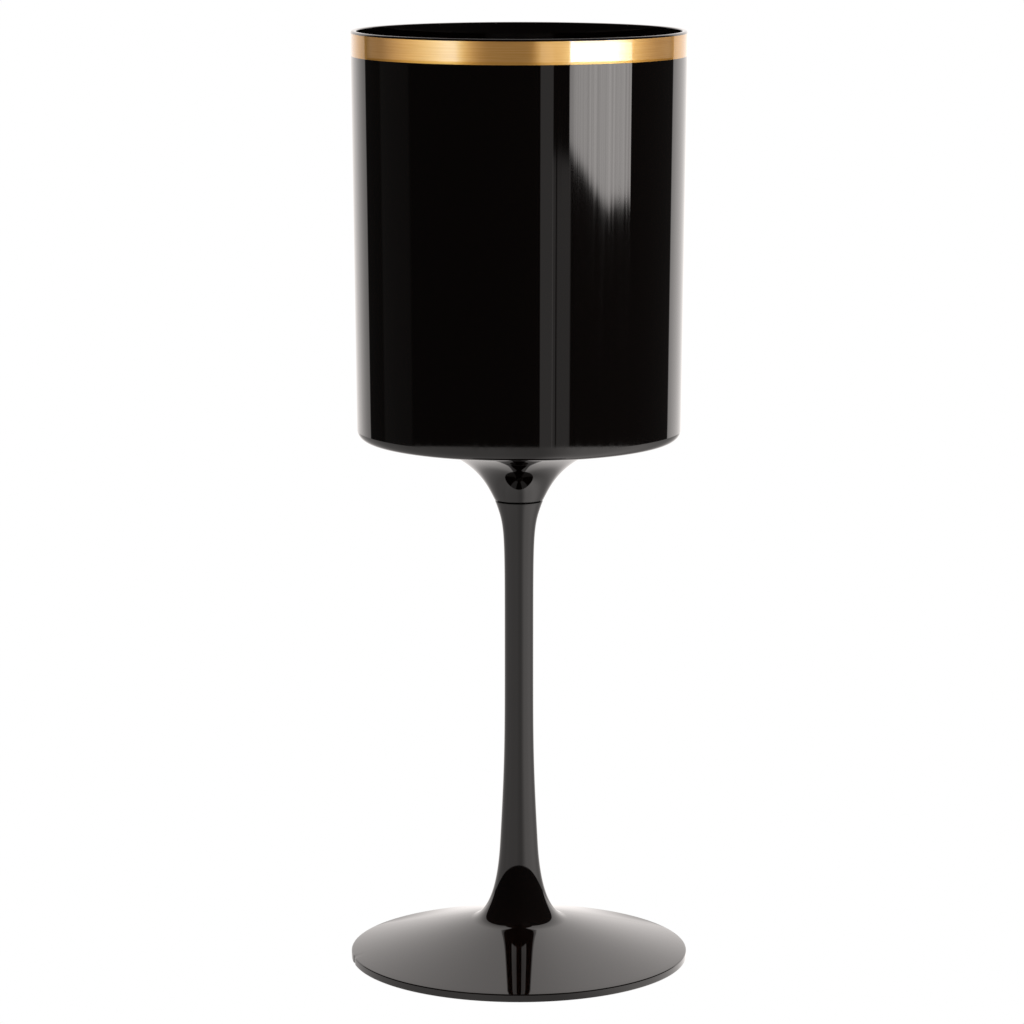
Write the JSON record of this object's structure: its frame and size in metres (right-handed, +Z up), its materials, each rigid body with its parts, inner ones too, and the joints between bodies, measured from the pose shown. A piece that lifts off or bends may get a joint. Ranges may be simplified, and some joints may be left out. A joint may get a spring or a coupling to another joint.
{
  "type": "stemmed goblet",
  "caption": "Straight-sided moulded drinking glass on a slim flared stem and conical foot, gloss black with a gold band below the lip.",
  "frame": {"origin": "centre of the plane that the foot's contact ring stands on", "axes": "+Z up along the axis of the cup, stem and foot"},
  "size_m": [0.072, 0.072, 0.1983],
  "materials": {
    "black_plastic": "mirror gloss as moulded",
    "gold_foil": "bright hot-stamped foil with fine lines round the cup",
    "adhesive": "dull cured adhesive"
  },
  "bodies": {
    "root": {"cup": "black_plastic", "gold_rim_band": "gold_foil", "stem_and_foot": "black_plastic", "neck_bond": "adhesive"}
  },
  "joints": []
}
